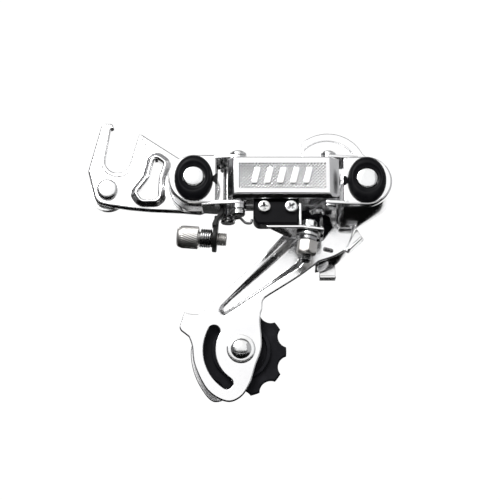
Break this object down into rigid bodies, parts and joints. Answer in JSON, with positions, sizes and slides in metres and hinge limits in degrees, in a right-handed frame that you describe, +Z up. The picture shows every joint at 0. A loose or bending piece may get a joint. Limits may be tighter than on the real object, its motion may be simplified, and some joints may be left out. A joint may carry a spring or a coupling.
{
  "type": "rear bicycle derailleur",
  "caption": "Bolt-on rear derailleur with slotted hanger plate, sprung parallelogram, limit screws, barrel adjuster and long cage with toothed jockey wheels.",
  "frame": {"origin": "centre of the axle slot on the hanger plate's inboard face", "axes": "+X forward along the bicycle, +Y inboard along the wheel axle, +Z up"},
  "size_m": [0.149, 0.0425, 0.1388],
  "materials": {
    "chrome_plate": "bright plated, lightly brushed",
    "zinc_hardware": "bright zinc plated",
    "satin_nickel": "satin nickel",
    "spring_steel": "drawn wire",
    "black_plastic": "moulded, semi-gloss",
    "pulley_resin": "moulded resin",
    "black_oxide": "black coated steel"
  },
  "bodies": {
    "hanger": {"hanger_plate": "chrome_plate", "hanger_bolt": "chrome_plate", "hanger_nut": "zinc_hardware", "upper_bolt": "chrome_plate", "upper_nut": "zinc_hardware"},
    "upper_knuckle": {"upper_knuckle": "chrome_plate", "upper_cap": "black_plastic", "upper_outer_pin": "chrome_plate", "upper_inner_pin": "chrome_plate", "adjuster_bracket": "black_oxide", "adjuster_spring": "spring_steel", "upper_spring": "spring_steel", "return_spring": "spring_steel"},
    "barrel": {"adjuster_barrel": "satin_nickel"},
    "outer_link": {"outer_link": "chrome_plate", "limit_block": "black_plastic", "cable_arm": "zinc_hardware", "anchor_washer": "satin_nickel", "cable_clamp_plate": "satin_nickel", "lock_washer": "satin_nickel", "anchor_bolt": "satin_nickel"},
    "anchor_nut": {"anchor_nut": "satin_nickel"},
    "high_screw": {"limit_screw_high": "zinc_hardware"},
    "low_screw": {"limit_screw_low": "zinc_hardware"},
    "inner_link": {"inner_link": "chrome_plate"},
    "lower_knuckle": {"lower_knuckle": "chrome_plate", "lower_cap": "black_plastic", "lower_outer_pin": "chrome_plate", "lower_inner_pin": "chrome_plate", "lower_spring": "spring_steel"},
    "cage": {"cage_shaft": "chrome_plate", "cage_outer_plate": "chrome_plate", "cage_inner_plate": "chrome_plate", "guide_bolt": "chrome_plate", "tension_bolt": "chrome_plate", "guide_bushing": "zinc_hardware", "tension_bushing": "zinc_hardware", "guide_caps": "zinc_hardware", "tension_caps": "zinc_hardware"},
    "guide_wheel": {"guide_pulley": "pulley_resin"},
    "tension_wheel": {"tension_pulley": "pulley_resin"}
  },
  "joints": [
    {"name": "upper_pivot", "type": "hinge", "parent": "hanger", "child": "upper_knuckle", "pos_m": [0.0381, -0.012, -0.0151], "axis": [0, -1, 0], "range_deg": [-12, 25], "deforming": ["upper_spring"]},
    {"name": "link_swing", "type": "hinge", "parent": "upper_knuckle", "child": "outer_link", "pos_m": [0.0593, -0.0185, -0.0155], "axis": [0, 0, 1], "range_deg": [0, 38], "stiffness_Nm_per_rad": 0.25, "springref_deg": -34.38, "deforming": ["return_spring"]},
    {"name": "inner_link_swing", "type": "hinge", "parent": "upper_knuckle", "child": "inner_link", "pos_m": [0.0544, -0.0072, -0.0155], "axis": [0, 0, 1], "range_deg": [0, 38]},
    {"name": "lower_knuckle_swing", "type": "hinge", "parent": "outer_link", "child": "lower_knuckle", "pos_m": [0.1028, -0.0185, -0.0155], "axis": [0, 0, -1], "range_deg": [0, 38]},
    {"name": "cage_pivot", "type": "hinge", "parent": "lower_knuckle", "child": "cage", "pos_m": [0.1209, -0.008, -0.016], "axis": [0, -1, 0], "range_deg": [0, 95], "stiffness_Nm_per_rad": 0.12, "springref_deg": -51.57, "deforming": ["lower_spring"]},
    {"name": "guide_spin", "type": "hinge", "parent": "cage", "child": "guide_wheel", "pos_m": [0.1036, 0.008, -0.0156], "axis": [0, 1, 0], "continuous": true},
    {"name": "tension_spin", "type": "hinge", "parent": "cage", "child": "tension_wheel", "pos_m": [0.0608, 0.008, -0.0936], "axis": [0, 1, 0], "continuous": true},
    {"name": "barrel_turn", "type": "hinge", "parent": "upper_knuckle", "child": "barrel", "pos_m": [0.0472, -0.012, -0.0426], "axis": [-0.9976, 0, 0.0698], "range_deg": [-180, 180]},
    {"name": "anchor_nut_turn", "type": "hinge", "parent": "outer_link", "child": "anchor_nut", "pos_m": [0.0934, -0.014, -0.0379], "axis": [0.1219, 0, 0.9925], "range_deg": [-180, 180]},
    {"name": "high_screw_turn", "type": "hinge", "parent": "outer_link", "child": "high_screw", "pos_m": [0.0718, -0.021, -0.0295], "axis": [0, 1, 0], "range_deg": [-180, 180]},
    {"name": "low_screw_turn", "type": "hinge", "parent": "outer_link", "child": "low_screw", "pos_m": [0.0846, -0.021, -0.0295], "axis": [0, 1, 0], "range_deg": [-180, 180]}
  ],
  "couplings": [
    {"joint": "inner_link_swing", "follows": "link_swing", "ratio": 1},
    {"joint": "lower_knuckle_swing", "follows": "link_swing", "ratio": 1}
  ]
}
